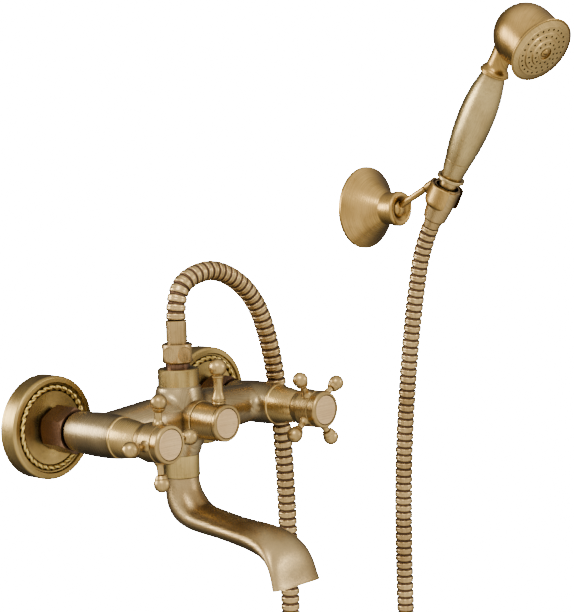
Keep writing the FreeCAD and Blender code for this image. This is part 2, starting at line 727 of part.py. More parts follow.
for side, sign, turn in SIDES:
    x = d.centres * sign / 2
    cone = barrel_front + d.bonnet_ring

    bonnet = new_body("bonnet_" + side, x, 0, 0, OUT)
    turned(bonnet, "cover_" + side, [
        (bonnet_rad - d.bonnet_skin, barrel_front),
        (bonnet_rad, barrel_front),
        (bonnet_rad, cone - 0.3),
        (bonnet_rad - 0.3, cone),
        (bonnet_rad - 0.5, cone + 0.3, d.bonnet_curve),
        (bonnet_tip, bonnet_end),
        (cart_neck + 0.05, bonnet_end),
        (cart_neck + 0.05, bonnet_end - 2),
        (bonnet_tip - d.bonnet_skin + 0.6, bonnet_end - 2),
        (bonnet_rad - d.bonnet_skin, cone),
    ])

    cartridge = new_body("cartridge_" + side, x, 0, 0, OUT)
    turned(cartridge, "headwork_" + side, [
        (d.spindle_rad + d.running_gap, pocket_back),
        (pocket_rad, pocket_back),
        (pocket_rad, barrel_front + 2),
        (cart_neck, barrel_front + 2.6),
        (cart_neck, bonnet_end - 0.4),
        (d.spindle_rad + d.running_gap, bonnet_end - 0.4),
    ])
    spindle("spindle_" + side, x, pocket_back + 2, spindle_end)

    rotation = OUT.multiply(FreeCAD.Rotation(V(0, 0, 1), turn.value))
    web = spindle_end + d.hub_web
    arm_foot = d.hub_rad - d.foot_depth
    pin_end = d.spindle_rad + 2.8
    hub = new_body("handle_hub_" + side, x, 0, 0, rotation)
    turned(hub, "knob_" + side, [
        (d.spindle_rad, hub_back),
        (d.hub_rad - 2.8, hub_back, 3.2),
        (d.hub_rad - 0.9, hub_back + 2.7),
        (d.hub_rad - 0.6, hub_back + 4.2),
        (d.hub_rad, hub_back + 6.7),
        (d.hub_rad - 0.5, hub_front - 0.6),
        (d.hub_rad - 1.3, hub_front),
        (disc_rad - 1.0, hub_front),
        (disc_rad - 1.0, web),
        (d.screw_rad + 0.1, web),
        (d.screw_rad + 0.1, spindle_end),
        (d.spindle_rad, spindle_end),
    ])
    socket = turned(hub, "socket_" + side, [
        (0, pin_end - 0.2),
        (d.tail_pin, pin_end - 0.2),
        (d.tail_pin, arm_foot),
        (d.foot_rad, arm_foot),
        (d.foot_rad, d.hub_rad + 2),
        (0, d.hub_rad + 2),
    ], cut=True, along="x", lift=arm_out, tilt=d.arm_tilt)
    around(hub, socket, 4)

    arms = new_body("cross_arms_" + side, x, 0, 0, rotation)
    arm_reach = d.hub_rad + d.arm_long
    ball_neck = d.ball_rad - d.ball_neck
    bead = neck_start(ball_neck, d.ball_rad, arm_reach)
    arm = turned(arms, "arm_" + side, [
        (0, pin_end),
        (d.tail_pin, pin_end),
        (d.tail_pin, arm_foot),
        (d.foot_rad, arm_foot),
        (d.foot_rad, d.hub_rad - 0.2, -4.5),
        (d.arm_rad + 0.1, d.hub_rad + 3.6),
        (d.arm_rad, bead - 3.0),
        (d.arm_rad + 0.9, bead - 2.5),
        (d.arm_rad + 1.2, bead - 2.2),
        (ball_neck + 0.3, bead - 0.5),
        (ball_neck + 0.3, bead - 0.2),
    ] + ball_tip(ball_neck, d.ball_rad, arm_reach), along="x", lift=arm_out, tilt=d.arm_tilt)
    around(arms, arm, 4)

    seat = cap_front - 1.7
    cap = new_body("cap_ring_" + side, x, 0, 0, OUT)
    turned(cap, "cap_" + side, [
        (disc_rad - 3.6, hub_front - 1.4),
        (disc_rad - 1.1, hub_front - 1.4),
        (disc_rad - 1.1, hub_front),
        (cap_rad - 1.0, hub_front),
        (cap_rad, hub_front + 0.8),
        (cap_rad, cap_front - 2.0, 2.6),
        (cap_rad - 0.9, cap_front),
        (disc_rad + d.disc_groove, cap_front),
        (disc_rad + d.disc_groove, seat),
        (0, seat),
        (0, seat - 2.0),
        (disc_rad - 3.6, seat - 2.0),
    ])
    index_disc("index_disc_" + side, x, disc_rad, seat, cap_front)
    handle_screw("handle_screw_" + side, x, web)

# ------------------------------------------------------------------ diverter
diverter_ring = new_body("diverter_ring", 0, 0, 0, OUT)
turned(diverter_ring, "ring_face", [
    (cart_neck + 0.05, boss_out),
    (d.boss_rad, boss_out),
    (d.boss_rad, ring_front - 0.5),
    (d.boss_rad - 0.5, ring_front),
    (cart_neck + 0.05, ring_front),
])
recess = dial_back + 3.2
diverter_cartridge = new_body("diverter_cartridge", 0, 0, 0, OUT)
turned(diverter_cartridge, "diverter_headwork", [
    (d.spindle_rad + d.running_gap, diverter_back + 2),
    (boss_pocket_rad - 0.4, diverter_back + 2),
    (boss_pocket_rad, diverter_back + 8),
    (boss_pocket_rad, boss_out),
    (cart_neck, boss_out),
    (cart_neck, recess - 0.7),
    (d.spindle_rad + d.running_gap, recess - 0.7),
])
dial_web = dial_front - d.dial_web
dial_end = dial_web - d.hub_web
spindle("diverter_spindle", 0, diverter_back + 4, dial_end)
dial = new_body("diverter_dial", 0, 0, 0, OUT)
turned(dial, "dial_turned", [
    (cart_neck + 0.6, dial_back),
    (dial_rad - 0.4, dial_back),
    (dial_rad, dial_back + 0.4),
    (dial_rad, dial_front),
    (dial_disc - 1.2, dial_front),
    (dial_disc - 1.2, dial_web),
    (d.screw_rad + 0.1, dial_web),
    (d.screw_rad + 0.1, dial_end),
    (d.spindle_rad, dial_end),
    (d.spindle_rad, recess),
    (cart_neck + 0.6, recess),
])
lever_foot = dial_rad - d.lever_depth
lever_pin = d.spindle_rad + 3.0
turned(dial, "lever_socket", [
    (0, lever_pin - 0.2),
    (d.tail_pin, lever_pin - 0.2),
    (d.tail_pin, lever_foot),
    (d.lever_plug, lever_foot),
    (d.lever_plug, dial_rad + 2),
    (0, dial_rad + 2),
], cut=True, plane="YZ_Plane", along="x", offset=lever_out)

lever = new_body("diverter_lever", 0, -lever_out, 0)
lever_reach = dial_rad + d.lever_long
lever_neck = d.lever_ball - 2.6
top_bead = neck_start(lever_neck, d.lever_ball, lever_reach)
turned(lever, "lever_turned", [
    (0, lever_pin),
    (d.tail_pin, lever_pin),
    (d.tail_pin, lever_foot),
    (d.lever_plug, lever_foot),
    (d.lever_plug, dial_rad + 0.1),
    (d.lever_thick, dial_rad + 0.2),
    (d.lever_thick, dial_rad + 0.8),
    (d.lever_thick - 0.3, dial_rad + 1.4),
    (d.lever_thick + 0.3, dial_rad + 2.0),
    (d.lever_thick + 0.3, dial_rad + 2.8),
    (d.lever_thick - 0.1, dial_rad + 3.2),
    (d.lever_thick + 0.1, dial_rad + 3.8),
    (d.lever_thick - 0.1, dial_rad + 4.4, -14.0),
    (d.lever_thick - 1.5, dial_rad + 10.5, -22.0),
    (lever_neck + 0.1, top_bead - 2.0),
    (lever_neck + 0.5, top_bead - 1.6),
    (lever_neck + 0.5, top_bead - 0.6),
    (lever_neck, top_bead - 0.2),
] + ball_tip(lever_neck, d.lever_ball, lever_reach))

dial_cap_front = dial_front + d.dial_cap_long
dial_seat = dial_cap_front - 1.5
dial_cap = new_body("cap_ring_diverter", 0, 0, 0, OUT)
turned(dial_cap, "dial_cap", [
    (dial_disc - 3.6, dial_front - 1.4),
    (dial_disc - 1.3, dial_front - 1.4),
    (dial_disc - 1.3, dial_front),
    (dial_rad - 0.5, dial_front),
    (dial_rad - 0.1, dial_front + 0.4),
    (dial_rad - 0.1, dial_front + 1.9, 2.2),
    (dial_rad - 0.7, dial_cap_front),
    (dial_disc + d.disc_groove, dial_cap_front),
    (dial_disc + d.disc_groove, dial_seat),
    (0, dial_seat),
    (0, dial_seat - 1.2),
    (dial_disc - 3.6, dial_seat - 1.2),
])
index_disc("index_disc_diverter", 0, dial_disc, dial_seat, dial_cap_front)
handle_screw("handle_screw_diverter", 0, dial_web)

# --------------------------------------------------------------- hose outlet
flange_rad = d.nipple_rad - 0.4
ferrule_bore = hose_bore - 1.1
washer_bore = hose_bore + 0.1
collar = new_body("column_collar", 0, -column_out, 0)
turned(collar, "collar_turned", [
    (d.nipple_rad, d.column_top),
    (collar_rad, d.column_top),
    (collar_rad, collar_top - 0.8),
    (collar_rad - 0.8, collar_top),
    (d.nipple_rad, collar_top),
])
nipple = new_body("outlet_nipple", 0, -column_out, 0)
nipple_bore = hose_bore + d.nipple_bore
turned(nipple, "nipple_turned", [
    (nipple_bore, d.column_top - 8.6),
    (d.riser_rad, d.column_top - 8.6),
    (d.riser_rad, d.column_top),
    (d.nipple_rad, d.column_top),
    (d.nipple_rad, nipple_top),
    (nipple_bore, nipple_top),
])
washer = new_body("hose_washer_lower", 0, -column_out, 0)
washer_top = nipple_top + d.washer_thick
turned(washer, "washer_lower_ring", box(washer_bore, flange_rad, nipple_top, washer_top))
ferrule = new_body("hose_ferrule_lower", 0, -column_out, 0)
flange_top = washer_top + 1.8
turned(ferrule, "ferrule_lower_turned", [
    (ferrule_bore, washer_top),
    (flange_rad, washer_top),
    (flange_rad, flange_top),
    (ferrule_rad, flange_top),
    (ferrule_rad, ferrule_top - 0.4),
    (ferrule_rad - 0.4, ferrule_top),
    (ferrule_bore, ferrule_top),
])
hose_nut = new_body("hose_nut_lower", 0, -column_out, 0,
                    FreeCAD.Rotation(V(0, 0, 1), d.hose_nut_turn.value))
nut_rad = d.nipple_rad + d.hose_nut_wall
facet = nut_rad - d.facet_deep
turned(hose_nut, "nut_turned", [
    (d.nipple_rad, hose_nut_low),
    (nut_rad - 1.8, hose_nut_low),
    (nut_rad - 0.5, hose_nut_low + 1.2, swell(nut_rad - 0.5, nut_rad, d.hose_nut_long / 2 - 0.8)),
    (nut_rad - 0.5, hose_nut_top - 0.4),
    (nut_rad - 0.9, hose_nut_top),
    (ferrule_rad + 0.1, hose_nut_top),
    (ferrule_rad + 0.1, flange_top),
    (d.nipple_rad, flange_top),
])
spot = turned(hose_nut, "nut_facet", [
    (0, facet),
    (d.facet_rad, facet),
    (d.facet_rad + 0.8, nut_rad + 0.3),
    (0, nut_rad + 0.3),
], cut=True, along="x", lift=(hose_nut_low + hose_nut_top) / 2)
around(hose_nut, spot, 6)

# --------------------------------------------------------------------- spout
swivel = new_body("spout_collar", 0, -column_out, 0)
flange_bore = spout_tail + 0.3
turned(swivel, "swivel_turned", [
    (flange_bore, -swivel_low),
    (d.swivel_rad - 0.4, -swivel_low),
    (d.swivel_rad, 0.4 - swivel_low),
    (d.swivel_rad, -0.4 - d.column_low),
    (d.swivel_rad - 0.4, -d.column_low),
    (stub_rad, -d.column_low),
    (stub_rad, -lip_low),
    (flange_bore, -lip_low),
])


def section(along, down, facing, half_x, half_n, square, skin):
    """Closed smooth section of the spout: a superellipse across the flow.

    along is out from the column axis, down is below the origin, and facing is
    the angle of the flow below level.
    """
    slope = math.radians(facing)
    normal = V(0, -math.sin(slope), math.cos(slope))
    centre = V(0, -along, -down)
    points = []
    for i in range(32):
        angle = 2 * math.pi * i / 32
        c, s = math.cos(angle), math.sin(angle)
        x = math.copysign(abs(c) ** (2 / square), c) * (half_x - skin)
        n = math.copysign(abs(s) ** (2 / square), s) * (half_n - skin)
        points.append(centre + V(x, 0, 0) + normal * n)
    curve = Part.BSplineCurve()
    curve.interpolate(points, PeriodicFlag=True)
    return Part.Wire([curve.toShape()])


def spout_loft(skin, start, overrun):
    """Loft through the spout's sections, all drawn in by skin.

    It begins start below the spout's top and overruns the mouth.
    """
    low, reach, drop = spout_high.value, d.spout_reach.value, d.spout_drop.value
    rad, mid = spout_rad.value, d.spout_mid.value
    wide, thick = d.mouth_half.value, d.mouth_thick.value
    # share of the reach, share of the drop, flow below level, half width,
    # half thickness, squareness
    table = [
        (0.0, start / drop, 90, rad, rad, 2.0),
        (0.006, 0.103, 79, rad + 0.3, rad + 0.3, 2.0),
        (0.028, 0.251, 62, rad + 1.3, rad + 1.4, 2.0),
        (0.101, 0.383, 40, rad + 2.1, rad + 0.2, 2.0),
        (0.210, 0.446, 15, rad + 2.3, rad - 2.2, 2.0),
        (0.350, 0.476, 8, mid, rad - 3.0, 2.0),
        (0.494, 0.506, 7, mid + 0.4, rad - 3.2, 2.0),
        (0.624, 0.529, 8, mid + 1.3, rad - 2.7, 2.0),
        (0.745, 0.558, 16, mid + 2.9, rad - 2.4, 2.05),
        (0.890, 0.651, 36, wide - 2.4, thick + 3.3, 2.2),
        (0.965, 0.822, 62, wide - 0.9, thick + 0.5, 2.5),
        (1.0, 1.0, 80, wide, thick, 2.9),
    ]
    if overrun:
        table.append((1.007, 1 + overrun / drop, 83, wide, thick, 2.9))
    wires = [section(along * reach, low + down * drop, *rest, skin)
             for along, down, *rest in table]
    return Part.makeLoft(wires, True, False)


def rod_solid(radius, low, high):
    """Cylinder about the column axis between two heights."""
    return Part.makeCylinder(radius, high - low, V(0, 0, low))


spout_high = swivel_low + 0.3
tail_rad, way_rad = spout_tail.value, spout_tail.value - 2.6
roof = 2.5
blank = spout_loft(0.0, 0.0, 0.0).fuse([
    rod_solid(tail_rad, -spout_high.value - 1.5, tail_top.value),
    rod_solid(stub_rad.value - 0.2, 0.2 - lip_low.value, -stub_low.value - 0.2)])
SEALS = [-d.column_low.value - depth for depth in (0.9, 4.9)]
seal_thick = 0.75
for z in SEALS:
    groove = rod_solid(tail_rad + 1, z - 0.95, z + 0.95)
    blank = blank.cut(groove.cut(rod_solid(tail_rad - 2 * seal_thick, z - 0.95, z + 0.95)))
spout = doc.addObject("Part::Feature", "spout")
spout.Label = "spout"
spout.Shape = blank.cut([
    spout_loft(d.spout_skin.value, roof, 3.0),
    rod_solid(way_rad, -spout_high.value - roof - 1, tail_top.value + 1)])
locate(spout, 0, -column_out, 0)

seals = doc.addObject("Part::Feature", "spout_seals")
seals.Label = "spout_seals"
seals.Shape = Part.makeCompound([
    Part.makeTorus(tail_rad - seal_thick, seal_thick, V(0, 0, z)) for z in SEALS])
locate(seals, 0, -column_out, 0)

# --------------------------------------------------------------- wall holder
post_out = d.rose_out - d.rose_web
plate_rad = d.rose_rad - d.plate_inset
plate = new_body("holder_plate", d.holder_x, 0, d.holder_z, OUT)
turned(plate, "plate_turned", [
    (0, 0),
    (plate_rad, 0),
    (plate_rad, d.plate_thick - 0.6),
    (plate_rad - 0.6, d.plate_thick),
    (d.post_rad, d.plate_thick),
    (d.post_rad, post_out),
    (0, post_out),
])
for name, way in (("left", -1), ("right", 1)):
    turned(plate, "hole_" + name, box(0, d.screw_hole, -1, d.plate_thick + 1), cut=True,
           offset=d.screw_pitch * way / 2)

rose_hole = d.joint_rad + 0.2
rose = new_body("holder_rose", d.holder_x, 0, d.holder_z, OUT)
turned(rose, "rose_turned", [
    (d.rose_rad - 2.2, 0),
    (d.rose_rad - 0.4, 0),
    (d.rose_rad, 0.4),
    (d.rose_rad, d.rose_rim - 0.6),
    (d.rose_rad - 0.6, d.rose_rim, -d.rose_curve),
    (d.rose_tip, d.rose_out),
    (rose_hole, d.rose_out),
    (rose_hole, post_out),
    (d.post_rad + 0.4, post_out, d.rose_curve - 5),
    (d.rose_rad - 3.0, d.rose_rim - 1.6),
])

reach = d.joint_rad + d.running_gap
lip = d.joint_rad - 0.7
lip_out = joint_out + root(reach * reach - lip * lip)
cup_out = d.rose_out + d.cup_long
rim_rad = cup_rad + d.cup_rim
cup = new_body("holder_cup", d.holder_x, 0, d.holder_z, OUT)
turned(cup, "cup_turned", [
    (reach, d.rose_out),
    (cup_rad - 0.3, d.rose_out),
    (cup_rad, d.rose_out + 0.4),
    (cup_rad, cup_out - 6.4),
    (rim_rad, cup_out - 5.4),
    (rim_rad, cup_out - 2.0, 2.6),
    (rim_rad - 1.6, cup_out, 2.6),
    (lip + 2.8, cup_out - 0.4),
    (lip, lip_out, -reach),
    (reach, joint_out),
])

ball_seat = new_body("holder_ball_seat", d.holder_x, 0, d.holder_z, OUT)
seat_edge = d.joint_rad - 2.2
seat_front = joint_out - root(reach * reach - seat_edge * seat_edge)
turned(ball_seat, "seat_turned", [
    (0, post_out),
    (rose_hole - 0.4, post_out),
    (rose_hole - 0.4, seat_front),
    (seat_edge, seat_front, -reach),
    (0, joint_out - reach),
])

AXIS = FreeCAD.Rotation(V(1, 0, 0), d.lean.value)
seat = FreeCAD.Placement(V(d.holder_x.value, -seat_out.value, seat_z.value), AXIS)
# The rod runs from the ball to its root, a point in the back wall of the fork.
ball = V(d.holder_x.value, -joint_out.value, d.holder_z.value)
rod_root = V(0, fork_rad.value + 0.4, 2.4)
rod_line = seat.multVec(rod_root) - ball
rod_rise = math.degrees(math.atan2(rod_line.z, -rod_line.y))
rod_end = rod_line.Length
rod = new_body("holder_rod", d.holder_x, -joint_out, d.holder_z,
               FreeCAD.Rotation(V(1, 0, 0), 90 - rod_rise))
ball_exit = root(d.joint_rad * d.joint_rad - d.rod_rad * d.rod_rad)
turned(rod, "rod_turned", [
    (0, -d.joint_rad, d.joint_rad),
    (d.joint_rad, 0, d.joint_rad),
    (d.rod_rad, ball_exit),
    (d.rod_rad, rod_end * 0.47),
    (d.rod_rad - 0.4, rod_end * 0.47 + 0.4),
    (d.rod_rad - 0.4, rod_end * 0.47 + 1.0),
    (d.rod_rad, rod_end * 0.47 + 1.4),
    (d.rod_rad, rod_end),
    (0, rod_end),
])

fork = new_body("holder_fork", d.holder_x, -seat_out, seat_z, AXIS)
slope = (d.cone_top - d.cone_low) / (d.fork_half * 2)
flare_low = d.fork_half - 1.6
cone = [
    (d.cone_low + d.running_gap, -d.fork_half),
    (d.cone_top - slope * 1.6 + d.running_gap, flare_low),
    (d.cone_top + 0.4, d.fork_half),
]
turned(fork, "fork_turned", [
    cone[0],
    (fork_rad - 1.6, -d.fork_half),
    (fork_rad - 0.3, 2.2 - d.fork_half),
    (fork_rad, 4 - d.fork_half),
    (fork_rad, d.fork_half - 0.5),
    (fork_rad - 0.5, d.fork_half),
    cone[2],
    cone[1],
])
# The boss and its socket point from the root back along the rod.
back_turn = -90 - rod_rise - d.lean.value
back_along_rod = {
    "plane": "YZ_Plane", "shift": rod_root.y, "lift": rod_root.z, "tilt": back_turn}
turned(fork, "boss", [
    (0, -4.4),
    (d.rod_rad + 1.1, -4.4),
    (d.rod_rad + 0.9, 5.0),
    (d.rod_rad, 7.5),
    (0, 7.5),
], **back_along_rod)
turned(fork, "cone_bore", [(0, -d.fork_half)] + cone + [(0, d.fork_half)], cut=True)
turned(fork, "fork_top", box(0, fork_rad + 4, d.fork_half, d.fork_half + 4), cut=True)
turned(fork, "rod_socket", box(0, d.rod_rad, 0, 12), cut=True, **back_along_rod)
half_gap = d.hose_rad + d.slot_slack
prism(fork, "fork_slot", [
    (-half_gap, -fork_rad - 4),
    (half_gap, -fork_rad - 4),
    (half_gap, -4),
    (-half_gap, -4),
], -d.fork_half - 1, d.fork_half + 1, cut=True)
round_low = d.fork_round - d.fork_half
prism(fork, "fork_corners", [
    (-4, -d.fork_half - 1),
    (-4, -d.fork_half, -d.fork_round),
    (-4 - d.fork_round, round_low),
    (-fork_rad - 4, round_low),
    (-fork_rad - 4, -d.fork_half - 1),
], -fork_rad - 4, fork_rad + 4, cut=True, plane="YZ_Plane")

# --------------------------------------------------------------- hand shower


def shower_body(label):
    """Start a piece of the hand shower in the shower's own frame."""
    return new_body(label, d.holder_x, -seat_out, seat_z, AXIS)


cone_end = -d.fork_half - d.cone_long
ferrule = shower_body("hose_ferrule_upper")
collar_low = cone_end + d.nut_rise
collar_high = 1.4 - d.fork_half
turned(ferrule, "ferrule_upper_turned", [
    (ferrule_bore, cone_end),
    (d.hose_rad - 0.4, cone_end),
    (d.hose_rad + 0.4, cone_end + 6.8),
    (d.hose_rad + 0.4, collar_high - 1.8),
    (thread_rad - 0.8, collar_high - 1.8),
    (thread_rad - 0.8, collar_high),
    (ferrule_bore, collar_high),
])
washer = shower_body("hose_washer_upper")
washer_high = collar_high + d.washer_thick
turned(washer, "washer_upper_ring", box(washer_bore, thread_rad - 0.4, collar_high, washer_high))
nut = shower_body("hose_nut_upper")
turned(nut, "nut_cone", [
    (d.hose_rad + 0.4, collar_low),
    (d.hose_rad + 1.2, collar_low),
    (d.cone_low - 1.4, collar_low + 1.1),
    (d.cone_low, -d.fork_half),
    (d.cone_top - slope * 1.6, flare_low),
    (thread_rad + 1.0, flare_low + 0.4),
    (thread_rad + 1.0, d.fork_half - 0.2),
    (thread_rad, d.fork_half - 0.2),
    (thread_rad, collar_high - 1.8),
    (d.hose_rad + 0.4, collar_high - 1.8),
])
nipple = shower_body("shower_nipple")
pipe_bore = inlet_pipe - d.pipe_step
turned(nipple, "shower_nipple_turned", [
    (pipe_bore, washer_high),
    (thread_rad, washer_high),
    (thread_rad, 2.6),
    (inlet_pipe, 3.6),
    (inlet_pipe, grip_low + 9),
    (pipe_bore, grip_low + 9),
])
ring = shower_body("grip_ring")
turned(ring, "grip_ring_turned", [
    (inlet_pipe, grip_low - 2.5),
    (d.ring_rad - 0.4, grip_low - 2.5),
    (d.ring_rad, grip_low - 2.1),
    (d.ring_rad, grip_low - 0.4),
    (d.ring_rad - 0.4, grip_low),
    (inlet_pipe, grip_low),
])

grip = shower_body("grip")
groove = grip_low + 14.0
groove_rad = d.grip_rad - 3.5
widest = grip_low + 52.0
top_rad = d.grip_rad - 5.1
turned(grip, "grip_turned", [
    (inlet_pipe, grip_low),
    (d.grip_rad - 5.7, grip_low),
    (d.grip_rad - 4.6, grip_low + 7),
    (groove_rad - 0.1, groove - 0.5),
    (groove_rad - 0.5, groove - 0.2),
    (groove_rad - 0.5, groove + 0.2),
    (groove_rad, groove + 0.5, swell(groove_rad, d.grip_rad, widest - groove - 0.5)),
    (d.grip_rad, widest, swell(top_rad, d.grip_rad, grip_top - widest)),
    (top_rad, grip_top),
    (d.neck_tail, grip_top),
    (d.neck_tail, grip_low + 9),
    (inlet_pipe, grip_low + 9),
])

# The head's own frame: its axis points forward and y runs on up the grip.
# The grip axis lies in the frame's YZ plane, nodded back by head_nod.
head_at = seat.multVec(V(0, 0, head_up.value))
FORWARD = (AXIS.multiply(FreeCAD.Rotation(V(0, 0, 1), -d.head_turn.value))
           .multiply(FreeCAD.Rotation(V(1, 0, 0), d.head_nod.value)).multiply(OUT))
ALONG_GRIP = {"plane": "YZ_Plane", "along": "x", "tilt": -d.head_nod}


def head_body(label):
    """Start a piece of the shower head in the head's own frame."""
    return new_body(label, d.holder_x, head_at.y, head_at.z, FORWARD)


dome = d.head_front - d.head_deep
skin_rad = head_rad - d.head_skin
plate_back = d.head_front - 2.6
plate_edge = d.head_front - 0.9
neck_low = -d.neck_long
neck_high = -9.0
head = head_body("shower_head")
turned(head, "head_dome", [
    (0, dome - head_rad, head_rad),
    (head_rad, dome),
    (head_rad - 0.2, d.head_front - 4.0, -4.6),
    (d.rim_rad, plate_edge),
    (d.rim_rad, d.head_front - 0.4),
    (d.rim_rad - 0.4, d.head_front),
    (0, d.head_front),
])
turned(head, "head_neck", [
    (0, neck_low - 7),
    (d.neck_tail, neck_low - 7),
    (d.neck_tail, neck_low),
    (d.bead_rad - 0.4, neck_low),
    (d.bead_rad, neck_low + 0.4),
    (d.bead_rad, neck_low + 1.3),
    (d.bead_rad - 0.4, neck_low + 1.7, 3.5),
    ((d.bead_rad + d.neck_rad) / 2, neck_low + 4.4, -6.0),
    (d.neck_rad + 0.3, neck_low + 8.5, -60.0),
    (d.neck_rad, neck_low + 15.0),
    (d.neck_rad + 0.4, neck_high),
    (0, neck_high),
], **ALONG_GRIP)
turned(head, "head_hollow", [
    (0, dome - skin_rad, skin_rad),
    (skin_rad, dome),
    (skin_rad, plate_edge),
    (face_rad, plate_edge),
    (face_rad, d.head_front + 1),
    (0, d.head_front + 1),
], cut=True)
turned(head, "head_way", box(0, d.neck_tail - d.neck_skin, neck_low - 8, neck_high - 1), cut=True,
       **ALONG_GRIP)

# The spray face climbs to its middle in one sloping step for each ring of jets.
JETS = (("outer", 0, 24), ("middle", 1, 16), ("inner", 2, 12))
rings = [(name, d.jets_outer - d.jets_apart * step, d.head_front + d.face_rise * (step + 1), count)
         for name, step, count in JETS]
recess_rad = rings[-1][1] - d.recess_set
summit = rings[-1][2] + 0.6
recess_floor = summit - 1.0
lands = []
for name, ring_rad, rise, count in rings:
    lands += [(ring_rad + d.land_half, rise - 0.25), (ring_rad - d.land_half, rise + 0.2)]
face = head_body("spray_face")
turned(face, "face_plate", [
    (0, plate_back),
    (skin_rad, plate_back),
    (skin_rad, plate_edge),
    (face_rad, plate_edge),
    (face_rad, d.head_front - 0.7),
    (face_rad - 0.4, d.head_front - 0.3),
    (d.jets_outer + d.land_half + 0.3, d.head_front + 0.7),
] + lands + [
    (recess_rad + 1.0, summit),
    (recess_rad, summit),
    (recess_rad, recess_floor),
    (0, recess_floor),
])
for name, ring_rad, rise, count in rings:
    jet = turned(face, "jet_" + name, box(0, d.jet_rad, plate_back - 1, rise + 1),
                 cut=True, offset=ring_rad)
    around(face, jet, count)

nozzle_screw = head_body("face_screw")
screw_edge = recess_rad - 1.6
turned(nozzle_screw, "face_screw_turned", [
    (0, recess_floor),
    (screw_edge, recess_floor),
    (screw_edge, recess_floor + 0.4, 4.5),
    (0, recess_floor + 1.4),
])
prism(nozzle_screw, "face_screw_slot", [(-4, -0.45), (4, -0.45), (4, 0.45), (-4, 0.45)],
      recess_floor + 0.7, recess_floor + 2, cut=True)

# ---------------------------------------------------------------------- hose
# The route runs from the straight ferrule over a short arch, down the left
# leg, round the bottom of the loop and up to the cone on the hand shower.
ROUTE = [V(*point) for point in (
    (0, -57.8, 66.9),
    (0, -57.8, 84),
    (14, -57.8, 96),
    (43, -57.8, 98.5),
    (77, -57.8, 77),
    (94, -57.8, 38),
    (103, -57.8, -22),
    (105.8, -57.6, -100),
    (106, -57, -185),
    (107, -56, -266),
    (111, -54, -336),
    (125, -52, -375),
    (151, -49, -400),
    (186, -45, -410),
    (221, -41, -402),
    (248, -37, -378),
    (264, -34, -339),
    (269, -31.5, -264),
    (268.6, -30.5, -160),
    (268.3, -32.5, -85),
    (268.3, -38, -25),
    (268.3, -44, 22),
    (268.3, -50.5, 60),
    (268.3, -57.5, 91.7),
    (268.3, -66.3, 107.9),
)]


def rounded(route):
    """Wire of straight runs and tangent arcs, and the radius of each arc."""
    edges, radii = [], []
    at = route[0]
    for before, here, after in zip(route, route[1:], route[2:]):
        back, ahead = before - here, after - here
        cut = 0.45 * min(back.Length, ahead.Length)
        half_turn = (math.pi - back.getAngle(ahead)) / 2
        radius = cut / math.tan(half_turn)
        back.normalize()
        ahead.normalize()
        middle = (back + ahead).normalize() * (radius / math.cos(half_turn) - radius)
        edges.append(Part.LineSegment(at, here + back * cut).toShape())
        edges.append(Part.Arc(here + back * cut, here + middle, here + ahead * cut).toShape())
        radii.append(radius)
        at = here + ahead * cut
    edges.append(Part.LineSegment(at, route[-1]).toShape())
    return Part.Wire(edges), radii


route, radii = rounded(ROUTE)
start = (ROUTE[1] - ROUTE[0]).normalize()
rings = [Part.Wire([Part.makeCircle(r.value, ROUTE[0], start)]) for r in (d.hose_rad, hose_bore)]
outside, inside = [route.makePipeShell([ring], True, True) for ring in rings]
hose = doc.addObject("Part::Feature", "hose_tube")
hose.Label = "hose_tube"
hose.Shape = outside.cut(inside)
section_area = math.pi * (d.hose_rad.value ** 2 - hose_bore.value ** 2)
print("hose length %.1f, radii %s" % (route.Length, " ".join("%.0f" % r for r in radii)))
print("hose volume %.0f against section x length %.0f"
      % (hose.Shape.Volume, section_area * route.Length))

# -------------------------------------------------------------------- export
doc.recompute()
os.makedirs("parts", exist_ok=True)
NODES = [thing for thing in doc.Objects
         if thing.TypeId in ("PartDesign::Body", "Part::Feature", "Part::Torus")]
for thing in NODES:
    trouble = [item.Name for item in getattr(thing, "Group", []) + [thing]
               if "Invalid" in item.State or "Error" in item.State]
    shape = thing.Shape
    if trouble or shape.isNull() or not shape.isValid() or not shape.Solids:
        raise RuntimeError("%s did not build: %s" % (thing.Label, trouble))
    shape.exportStep("parts/%s.step" % thing.Label)
    room = shape.BoundBox
    print("%-24s solids %d volume %9.0f  x %.1f %.1f  y %.1f %.1f  z %.1f %.1f" % (
        thing.Label, len(shape.Solids), shape.Volume,
        room.XMin, room.XMax, room.YMin, room.YMax, room.ZMin, room.ZMax))
print(len(NODES), "sub-parts")
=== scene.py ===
# %% [markdown]
# # A wall mounted bath mixer in aged brass
#
# The CAD model of the mixer gives every metal part its shape, place and size.
# This script dresses it: it adds what the CAD model leaves plain, which is the ribbed
# hose and the two rope rings, and gives every part its finish.
#
# Everything is in metres in the CAD model's own frame: the wall is the plane y = 0,
# the room is at negative y, x runs to the right and z is up.

# %% Load the CAD model
import json
import math

import bpy
import numpy as np
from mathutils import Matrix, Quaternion, Vector


